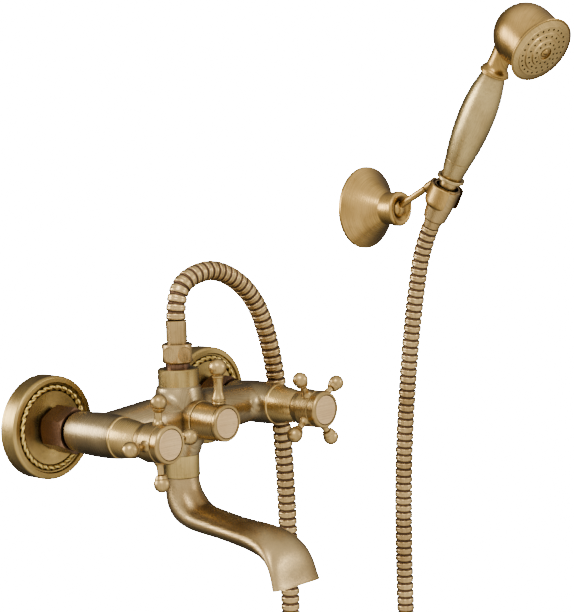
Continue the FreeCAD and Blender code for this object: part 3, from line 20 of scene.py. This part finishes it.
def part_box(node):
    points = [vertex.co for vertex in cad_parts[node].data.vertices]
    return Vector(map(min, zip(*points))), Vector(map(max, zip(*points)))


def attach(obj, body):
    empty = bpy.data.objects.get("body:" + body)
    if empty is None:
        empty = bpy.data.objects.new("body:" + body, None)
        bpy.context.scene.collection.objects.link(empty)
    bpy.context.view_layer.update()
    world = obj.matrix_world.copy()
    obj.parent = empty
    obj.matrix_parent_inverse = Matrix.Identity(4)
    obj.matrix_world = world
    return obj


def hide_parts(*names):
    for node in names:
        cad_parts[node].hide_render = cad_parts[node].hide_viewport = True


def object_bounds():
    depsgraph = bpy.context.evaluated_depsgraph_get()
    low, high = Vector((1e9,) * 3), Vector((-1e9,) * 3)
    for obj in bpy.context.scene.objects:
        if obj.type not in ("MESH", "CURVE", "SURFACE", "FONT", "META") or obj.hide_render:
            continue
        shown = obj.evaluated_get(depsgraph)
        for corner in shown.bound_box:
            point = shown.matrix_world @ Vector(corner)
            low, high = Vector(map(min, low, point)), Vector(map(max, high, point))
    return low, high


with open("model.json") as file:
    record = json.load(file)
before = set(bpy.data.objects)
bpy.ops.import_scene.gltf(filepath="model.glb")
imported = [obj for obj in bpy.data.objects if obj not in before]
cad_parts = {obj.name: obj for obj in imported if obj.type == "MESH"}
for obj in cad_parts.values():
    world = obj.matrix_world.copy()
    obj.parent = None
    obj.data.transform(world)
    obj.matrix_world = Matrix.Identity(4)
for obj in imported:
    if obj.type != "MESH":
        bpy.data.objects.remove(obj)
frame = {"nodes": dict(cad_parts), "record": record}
start_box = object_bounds()
print("CAD box in mm:", [[round(v * 1000, 1) for v in corner] for corner in start_box])

# %% [markdown]
# ## Camera
#
# A long lens looks at the middle of the set from the left and a little above.  The
# direction is given as an azimuth, an elevation and a small roll, in degrees.

# %% Set up the camera
AZIMUTH, ELEVATION, ROLL = -47.44, 7.23, -1.85
TARGET = Vector((0.17482, 0.0, 0.05284))
DISTANCE = 1.65619
LENS, SENSOR = 128.82, 36.0


def aim(azimuth, elevation, roll):
    """Unit vector from the target back to the camera, and the camera's turn."""
    a, e = math.radians(azimuth), math.radians(elevation)
    back = Vector((math.sin(a) * math.cos(e), -math.cos(a) * math.cos(e), math.sin(e)))
    turn = (-back).to_track_quat("-Z", "Y") @ Quaternion((0, 0, 1), math.radians(roll))
    return back, turn


camera = bpy.data.objects.new("camera", bpy.data.cameras.new("camera"))
bpy.context.scene.collection.objects.link(camera)
back, turn = aim(AZIMUTH, ELEVATION, ROLL)
camera.location = TARGET + back * DISTANCE
camera.rotation_mode = "QUATERNION"
camera.rotation_quaternion = turn
camera.data.lens = LENS
camera.data.sensor_width = SENSOR
camera.data.clip_start, camera.data.clip_end = 0.05, 60.0
bpy.context.scene.camera = camera
print("camera at", [round(v, 4) for v in camera.location])

# %% [markdown]
# ## Grids of points
#
# New pieces are surfaces made from a grid of points, one row after another.  The grid
# is filled by a formula, so there is no loop over single points.  Rows that close on
# themselves wrap round, and an open tube gets a flat fan at each end.

# %% Turn a grid of points into a mesh


def grid_mesh(name, points, wrap_rows, caps=False):
    """Mesh over points[row, column]; columns always wrap, rows wrap if wrap_rows.

    Face normals point to the right of the way the rows run, seen with the columns
    going up, which is outward for the tubes made here.  caps closes both ends.
    """
    rows, columns, _ = points.shape
    row = np.arange(rows if wrap_rows else rows - 1)[:, None]
    column = np.arange(columns)[None, :]
    below, above = row * columns, (row + 1) % rows * columns
    after = (column + 1) % columns
    quads = np.stack([below + column, below + after, above + after, above + column], -1)
    faces = quads.reshape(-1, 4).tolist()
    coordinates = points.reshape(-1, 3)
    if caps:
        ends = coordinates.shape[0]
        coordinates = np.vstack([coordinates, points[0].mean(0), points[-1].mean(0)])
        last = (rows - 1) * columns
        faces += [(c, ends, (c + 1) % columns) for c in range(columns)]
        faces += [(last + (c + 1) % columns, ends + 1, last + c) for c in range(columns)]
    mesh = bpy.data.meshes.new(name)
    mesh.from_pydata(coordinates.tolist(), [], faces)
    mesh.shade_smooth()
    piece = bpy.data.objects.new(name, mesh)
    bpy.context.scene.collection.objects.link(piece)
    print(name, len(coordinates), "points", len(faces), "faces")
    return piece


# %% [markdown]
# ## The hose
#
# The hose runs from the straight ferrule on top of the body over a tight arch, hangs
# in a loop and ends in the cone of the hand shower.  Its line is a smooth spline drawn
# towards the points of the route.

# %% Lay the hose's line
HOSE_DIAMETER = 0.014
HOSE_ROUTE = (
    (0.0, -0.0578, 0.0669),
    (0.0, -0.0578, 0.084),
    (0.014, -0.0578, 0.096),
    (0.043, -0.0578, 0.0985),
    (0.077, -0.0578, 0.077),
    (0.094, -0.0578, 0.038),
    (0.103, -0.0578, -0.022),
    (0.1058, -0.0576, -0.1),
    (0.106, -0.057, -0.185),
    (0.107, -0.056, -0.266),
    (0.111, -0.054, -0.336),
    (0.125, -0.052, -0.375),
    (0.151, -0.049, -0.4),
    (0.186, -0.045, -0.41),
    (0.221, -0.041, -0.402),
    (0.248, -0.037, -0.378),
    (0.264, -0.034, -0.339),
    (0.269, -0.0315, -0.264),
    (0.2686, -0.0305, -0.16),
    (0.2683, -0.0325, -0.085),
    (0.2683, -0.038, -0.025),
    (0.2683, -0.044, 0.022),
    (0.2683, -0.0505, 0.06),
    (0.2683, -0.0575, 0.0917),
    (0.2683, -0.0663, 0.1079),
)


def spline_points(name, route):
    """Points of a smooth spline that route's points draw towards."""
    curve = bpy.data.curves.new(name, "CURVE")
    curve.dimensions = "3D"
    curve.resolution_u = 24
    spline = curve.splines.new("NURBS")
    spline.points.add(len(route) - 1)
    for point, place in zip(spline.points, route):
        point.co = (*place, 1.0)
    spline.order_u = 3
    spline.use_endpoint_u = True
    holder = bpy.data.objects.new(name, curve)
    bpy.context.scene.collection.objects.link(holder)
    mesh = bpy.data.meshes.new_from_object(holder)
    points = np.empty(len(mesh.vertices) * 3)
    mesh.vertices.foreach_get("co", points)
    bpy.data.objects.remove(holder)
    bpy.data.curves.remove(curve)
    bpy.data.meshes.remove(mesh)
    return points.reshape(-1, 3)


hose_line = spline_points("hose_line", HOSE_ROUTE)
hose_length = float(np.linalg.norm(np.diff(hose_line, axis=0), axis=1).sum())
print("hose line", len(hose_line), "points,", round(hose_length, 4), "m")

# %% [markdown]
# The hose is a strip wound into interlocking rings.  Each ring is a flat band with a
# faint line round its middle, and a narrow groove parts it from the next, painted dark
# as shade.  Stations are shares of one pitch, and each has its depth under the hose's outside.

# %% Sweep the ribbed hose along its line
RIB_PITCH = 0.00577
RIB_STATIONS = (0.0, 0.11, 0.15, 0.19, 0.44, 0.5, 0.56, 0.81, 0.85, 0.89)
RIB_DEPTHS = (0.0010, 0.0010, 0.0004, 0.00008, 0.0, 0.0002, 0.0, 0.00008, 0.0004, 0.0010)
GROOVE_STATIONS = (0, 1, 8, 9)
AROUND = 40


def along_line(line, distances):
    """Places and directions at distances along a line of points."""
    steps = np.linalg.norm(np.diff(line, axis=0), axis=1)
    reach = np.concatenate([[0.0], np.cumsum(steps)])
    places = np.stack([np.interp(distances, reach, line[:, k]) for k in range(3)], 1)
    ahead = np.gradient(places, distances, axis=0)
    return places, ahead / np.linalg.norm(ahead, axis=1, keepdims=True)


def carried_frames(directions, first):
    """Two axes across each direction, carried along without twist."""
    across = np.empty_like(directions)
    axis = np.asarray(first, float)
    for i, ahead in enumerate(directions):
        axis = axis - ahead * axis.dot(ahead)
        axis /= np.linalg.norm(axis)
        across[i] = axis
    return across, np.cross(directions, across)


def ribbed_tube(name, line, radius, pitch):
    """Tube along line whose radius dips by RIB_DEPTHS once per pitch.

    Faces that start at one of the GROOVE_STATIONS have the second material, which paints
    the shade in the grooves.
    """
    steps = np.linalg.norm(np.diff(line, axis=0), axis=1)
    ribs = round(steps.sum() / pitch)
    stations = (np.arange(ribs)[:, None] + np.array(RIB_STATIONS)).ravel()
    stations = np.append(stations, ribs) * steps.sum() / ribs
    depths = np.append(np.tile(RIB_DEPTHS, ribs), RIB_DEPTHS[0])
    places, directions = along_line(line, stations)
    across, up = carried_frames(directions, (1.0, 0.0, 0.0))
    angle = np.linspace(0, 2 * math.pi, AROUND, endpoint=False)
    right = np.cos(angle)[None, :, None] * across[:, None]
    ring = right + np.sin(angle)[None, :, None] * up[:, None]
    reach = (radius - depths)[:, None, None]
    tube = grid_mesh(name, places[:, None] + ring * reach, False, True)
    shaded_groove_faces = np.zeros(len(tube.data.polygons), np.int32)
    shaded_groove_faces[:(len(stations) - 1) * AROUND] = np.repeat(
        np.tile(np.isin(np.arange(len(RIB_STATIONS)), GROOVE_STATIONS), ribs), AROUND)
    tube.data.polygons.foreach_set("material_index", shaded_groove_faces)
    return tube


hose = ribbed_tube("ribbed_hose", hose_line, HOSE_DIAMETER / 2, RIB_PITCH)
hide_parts("hose_tube")
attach(hose, "mixer_and_holder")

# %% [markdown]
# ## Rope rings
#
# A rope ring lies in a channel of each escutcheon.  Two strands wind round each other,
# so its cross section is a rounded bar that turns once for every two lobes seen.

# %% Twist the rope rings
ROPE_LOBES = 32
STEPS_PER_LOBE, ROPE_AROUND = 16, 28
ROPE_CORE = 0.56


def rope_ring(side):
    """Twisted ring in place of a plain CAD ring; u runs along it and v around it.

    The distance from the ring's centre line is
    thick * (core + (1 - core) * |cos(v - twist * u)|) with core = ROPE_CORE,
    which gives two strands with sharp valleys between them.
    """
    low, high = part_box("rope_ring_" + side)
    centre = (low + high) / 2
    thick = (high.y - low.y) / 2
    radius = (high.x - low.x) / 2 - thick
    u = np.linspace(0, 2 * math.pi, ROPE_LOBES * STEPS_PER_LOBE, endpoint=False)[:, None]
    v = np.linspace(0, 2 * math.pi, ROPE_AROUND, endpoint=False)[None, :]
    swell = np.abs(np.cos(v - u * ROPE_LOBES / 2))
    reach = thick * (ROPE_CORE + (1 - ROPE_CORE) * swell)
    ring = radius + reach * np.cos(v)
    points = np.stack([
        centre.x + ring * np.cos(u),
        centre.y + reach * np.sin(v),
        centre.z + ring * np.sin(u),
    ], -1)
    piece = grid_mesh("twisted_rope_" + side, points, True)
    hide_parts("rope_ring_" + side)
    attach(piece, "mixer_and_holder")
    return piece


ropes = [rope_ring(side) for side in ("hot", "cold")]

# %% [markdown]
# ## Finishes
#
# Colours are written as they look on screen and turned into linear light.

# %% Colour and node helpers


def to_linear(code):
    """Linear red, green, blue and alpha of a hex colour."""
    parts = [int(code[i:i + 2], 16) / 255 for i in (0, 2, 4)]
    linear = [p / 12.92 if p <= 0.04045 else ((p + 0.055) / 1.055) ** 2.4 for p in parts]
    return linear + [1.0]


def add(tree, kind, values=None, **settings):
    """Add a node, set its properties, then fill or link its inputs."""
    node = tree.nodes.new(kind)
    for key, value in settings.items():
        setattr(node, key, value)
    for key, value in (values or {}).items():
        if isinstance(value, bpy.types.NodeSocket):
            tree.links.new(value, node.inputs[key])
        else:
            node.inputs[key].default_value = value
    return node


def new_material(name):
    """An empty material with its output node; returns the material and its tree."""
    made = bpy.data.materials.new(name)
    made.use_nodes = True
    made.node_tree.nodes.clear()
    return made, made.node_tree


# %% [markdown]
# Aged brass is a brushed metal.  Its colour drifts between a light and a dark tone over
# centimetres, the brush leaves fine streaks that run one way along each part, small
# tarnish spots lie in between, and a dark tone is mixed in where surfaces lie close
# together: partly the patina in the hollows and partly painted shade there.

# %% Aged brass
MM = 0.001
DRIFT_SIZE, SPOT_SIZE, GRAIN_SIZE = 34 * MM, 3.5 * MM, 0.6 * MM
STREAK_SHARE, SPOT_SHARE = 0.3, 0.14


def noise(tree, place, size, detail, low, high, turn=(0.0, 0.0, 0.0)):
    """Noise spread from low..high to 0..1; size is a blotch along each turned axis."""
    frame_of = add(tree, "ShaderNodeMapping", {
        "Vector": place, "Rotation": turn, "Scale": size}, vector_type="TEXTURE")
    blotches = add(tree, "ShaderNodeTexNoise", {
        "Vector": frame_of.outputs["Vector"], "Scale": 1.0, "Detail": detail})
    spread = add(tree, "ShaderNodeMapRange", {
        "Value": blotches.outputs["Fac"], "From Min": low, "From Max": high})
    return spread.outputs["Result"]


def blended(tree, amount, first, second):
    """Colour that goes from first to second as amount goes from 0 to 1."""
    mix = add(tree, "ShaderNodeMix", {"Factor": amount, 6: first, 7: second},
              data_type="RGBA")
    return mix.outputs[2]


def aged_brass(name, light, dark, patina_and_shade, roughness, brush, turn=(0.0, 0.0, 0.0),
               patina_and_shade_reach=4 * MM):
    """Brushed brass between two tones, with a third in hollows up to the given reach wide.
    The third tone is patina in the hollows and painted shade where surfaces lie close.

    brush is the size of a streak along each axis of the frame turned by turn.
    """
    made, tree = new_material(name)
    place = add(tree, "ShaderNodeTexCoord").outputs["Object"]
    drift = noise(tree, place, (DRIFT_SIZE,) * 3, 2.0, 0.3, 0.7)
    streaks = noise(tree, place, brush, 2.0, 0.34, 0.66, turn)
    spots = noise(tree, place, (SPOT_SIZE,) * 3, 4.0, 0.56, 0.74)
    colour = blended(tree, drift, to_linear(light), to_linear(dark))
    faint = add(tree, "ShaderNodeMath", {0: streaks, 1: STREAK_SHARE}, operation="MULTIPLY")
    colour = blended(tree, faint.outputs[0], colour, to_linear(patina_and_shade))
    faint = add(tree, "ShaderNodeMath", {0: spots, 1: SPOT_SHARE}, operation="MULTIPLY")
    colour = blended(tree, faint.outputs[0], colour, to_linear(patina_and_shade))
    # Ambient occlusion mixes the third tone in where surfaces lie close: patina and painted
    # shade.
    patina_and_shade_ao = add(tree, "ShaderNodeAmbientOcclusion", {"Distance": patina_and_shade_reach}, samples=8)
    depth = add(tree, "ShaderNodeMapRange", {
        "Value": patina_and_shade_ao.outputs["AO"], "From Min": 0.2, "From Max": 0.85})
    colour = blended(tree, depth.outputs["Result"], to_linear(patina_and_shade), colour)
    sheen = add(tree, "ShaderNodeMapRange", {
        "Value": streaks, "To Min": roughness - 0.05, "To Max": roughness + 0.09})
    bump = add(tree, "ShaderNodeBump", {
        "Height": streaks, "Strength": 0.35, "Distance": 0.06 * MM})
    surface = add(tree, "ShaderNodeBsdfPrincipled", {
        "Base Color": colour, "Metallic": 1.0, "Roughness": sheen.outputs["Result"],
        "Normal": bump.outputs["Normal"]})
    add(tree, "ShaderNodeOutputMaterial", {"Surface": surface.outputs["BSDF"]})
    return made


def plain(name, colour, roughness, metallic=0.0):
    """One even colour with a fine grain in its sheen."""
    made, tree = new_material(name)
    place = add(tree, "ShaderNodeTexCoord").outputs["Object"]
    grain = noise(tree, place, (GRAIN_SIZE,) * 3, 3.0, 0.3, 0.7)
    sheen = add(tree, "ShaderNodeMapRange", {
        "Value": grain, "To Min": roughness - 0.06, "To Max": roughness + 0.06})
    surface = add(tree, "ShaderNodeBsdfPrincipled", {
        "Base Color": to_linear(colour), "Metallic": metallic,
        "Roughness": sheen.outputs["Result"]})
    add(tree, "ShaderNodeOutputMaterial", {"Surface": surface.outputs["BSDF"]})
    return made


# %% [markdown]
# A streak is long one way and fine the others.  Streaks that run round an axis towards
# the wall are long in x and z, and those of the grip lean with the hand shower.

# %% The finishes
LONG, FINE = 30 * MM, 0.35 * MM
LEAN = (math.radians(28.6), 0.0, 0.0)
RINGS = (LONG, FINE, LONG)
SIDEWAYS = (LONG, FINE, FINE)
OUTWARD = (FINE, LONG, FINE)
UPWARD = (FINE, FINE, LONG)
FINISHES = {
    "handle_brass": aged_brass("aged_brass_handles", "BE9E62", "987C4A", "403220", 0.30, RINGS),
    "cover_brass": aged_brass("olive_brass_covers", "BC9F5E", "886E3A", "382A16", 0.32, RINGS),
    "bright_brass": aged_brass("bright_brass_bonnets", "DAB670", "B49456", "4A3A24", 0.28, RINGS),
    # The body's third tone reaches 16 mm, so besides patina it paints shade over its wide concave
    # corners.
    "body_brass": aged_brass("aged_brass_body", "AC9468", "7A6644", "2E261A", 0.30, RINGS,
                             patina_and_shade_reach=16 * MM),
    "spout_brass": aged_brass("aged_brass_spout", "BEA26E", "8C7248", "382A1C", 0.32, OUTWARD),
    "collar_brass": aged_brass("olive_brass_collars", "C0A464", "8E743E", "3A2C16", 0.30, UPWARD),
    "dark_brass": aged_brass("dark_brass_nuts", "84634A", "584030", "20150E", 0.32, RINGS),
    "disc_brass": aged_brass("satin_brass_discs", "E4C086", "CEA874", "5E4830", 0.40, SIDEWAYS),
    "grip_brass": aged_brass("pale_brass_grip", "C8AE72", "94794A", "463620", 0.30, UPWARD,
                             LEAN),
    "hose_brass": aged_brass("brass_strip_hose", "C6A66C", "987A4A", "2C2014", 0.30, RINGS),
    "rope_brass": aged_brass("bright_brass_rope", "DABC6A", "AE9048", "3E3014", 0.28, RINGS,
                             patina_and_shade_reach=1.6 * MM),
    "holder_brass": aged_brass("aged_brass_holder", "C29C58", "8E6E38", "38280F", 0.32, RINGS),
    "rubber_seal": plain("black_rubber", "1A1918", 0.7),
    "screw_steel": plain("plain_steel", "B9A57E", 0.35, 1.0),
    "seat_plastic": plain("white_plastic", "E6E3DA", 0.45),
}
print(len(FINISHES), "finishes")

# %% [markdown]
# The record names a finish for every part.  The maker aged the brass more on some parts
# than on others, so a few parts have a finish of their own tone here.

# %% Give every part its finish
CLOSER = {
    "escutcheon_hot": "cover_brass", "escutcheon_cold": "cover_brass",
    "bonnet_hot": "bright_brass", "bonnet_cold": "bright_brass", "spout": "spout_brass",
    "spout_collar": "collar_brass", "column_collar": "collar_brass",
    "shower_head": "holder_brass", "spray_face": "bright_brass", "face_screw": "holder_brass",
    "shower_nipple": "handle_brass",
}
for entry in frame["record"]["subparts"]:
    node = frame["nodes"][entry["node"]]
    node.data.materials.clear()
    finish = CLOSER.get(entry["node"], entry["material_slot"])
    node.data.materials.append(FINISHES[finish])
hose.data.materials.append(FINISHES["hose_brass"])
# The hose's second material is a dark brown that paints the shade in its grooves.
groove_shade = aged_brass("painted_shade_hose_grooves", "5E4632", "432F20", "20140C", 0.5, RINGS)
hose.data.materials.append(groove_shade)
for rope in ropes:
    rope.data.materials.append(FINISHES["rope_brass"])
print(len(frame["nodes"]), "CAD parts have a finish")

# %% [markdown]
# ## Studio
#
# A wide pale floor lies just below the hose.  The camera sees it as bright as the room
# behind it, so no horizon shows.

# %% Floor
FLOOR_HALF, FLOOR_DROP = 40.0, 0.02
BACKDROP = 60.0
floor_level = start_box[0].z - FLOOR_DROP
floor_mesh = bpy.data.meshes.new("floor")
floor_mesh.from_pydata(
    [(x, y, floor_level) for x, y in (
        (-FLOOR_HALF, -FLOOR_HALF), (FLOOR_HALF, -FLOOR_HALF),
        (FLOOR_HALF, FLOOR_HALF), (-FLOOR_HALF, FLOOR_HALF))],
    [], [(0, 1, 2, 3)])
floor = bpy.data.objects.new("floor", floor_mesh)
bpy.context.scene.collection.objects.link(floor)
floor_paint, tree = new_material("pale_floor")
seen = add(tree, "ShaderNodeLightPath").outputs["Is Camera Ray"]
glow = add(tree, "ShaderNodeMath", {0: seen, 1: BACKDROP}, operation="MULTIPLY")
paint = add(tree, "ShaderNodeBsdfPrincipled", {
    "Base Color": to_linear("D8D4CC"), "Roughness": 0.9, "Emission Color": to_linear("FFFFFF"),
    "Emission Strength": glow.outputs[0]})
add(tree, "ShaderNodeOutputMaterial", {"Surface": paint.outputs["BSDF"]})
floor.data.materials.append(floor_paint)
floor.visible_glossy = False
print("floor at z =", round(floor_level, 4), "m")

# %% [markdown]
# The brass mirrors the room, which is bright in front on the left and goes dark towards
# the other side.  The camera itself sees a plain bright room.

# %% Room
BRIGHT_SIDE = Vector((-0.5, -0.75, 0.25)).normalized()
DARKEST, BRIGHTEST = 0.06, 1.75
world = bpy.data.worlds.new("studio")
world.use_nodes = True
tree = world.node_tree
tree.nodes.clear()
way = add(tree, "ShaderNodeTexCoord").outputs["Generated"]
toward = add(tree, "ShaderNodeVectorMath", {0: way, 1: BRIGHT_SIDE}, operation="DOT_PRODUCT")
level = add(tree, "ShaderNodeMapRange", {
    "Value": toward.outputs["Value"], "From Min": -0.85, "From Max": 0.55,
    "To Min": DARKEST, "To Max": BRIGHTEST}, interpolation_type="SMOOTHSTEP")
seen = add(tree, "ShaderNodeLightPath").outputs["Is Camera Ray"]
strength = add(tree, "ShaderNodeMix", {
    "Factor": seen, 2: level.outputs["Result"], 3: BACKDROP}, data_type="FLOAT")
sky = add(tree, "ShaderNodeBackground", {
    "Color": to_linear("FFFFFF"), "Strength": strength.outputs[0]})
add(tree, "ShaderNodeOutputWorld", {"Surface": sky.outputs["Background"]})
bpy.context.scene.world = world
print("room from", DARKEST, "to", BRIGHTEST)

# %% [markdown]
# Three soft square lights face the middle of the set: one above on the left, one low on
# the right, and one behind on the left that brings out the edges.

# %% Lights


def soft_light(name, place, target, size, power):
    """Square area light at place that faces target, sizes in metres and power in watts."""
    light = bpy.data.objects.new(name, bpy.data.lights.new(name, "AREA"))
    light.data.size = size
    light.data.energy = power
    light.location = place
    light.rotation_mode = "QUATERNION"
    light.rotation_quaternion = (Vector(target) - Vector(place)).to_track_quat("-Z", "Y")
    bpy.context.scene.collection.objects.link(light)
    print("light", name, power, "W")


middle = (0.15, -0.05, 0.05)
soft_light("key", (-1.2, -0.9, 1.5), middle, 0.7, 28.0)
soft_light("fill", (0.9, -1.6, 0.5), middle, 0.5, 8.0)
soft_light("rim", (-1.0, 1.1, 0.45), middle, 0.7, 30.0)
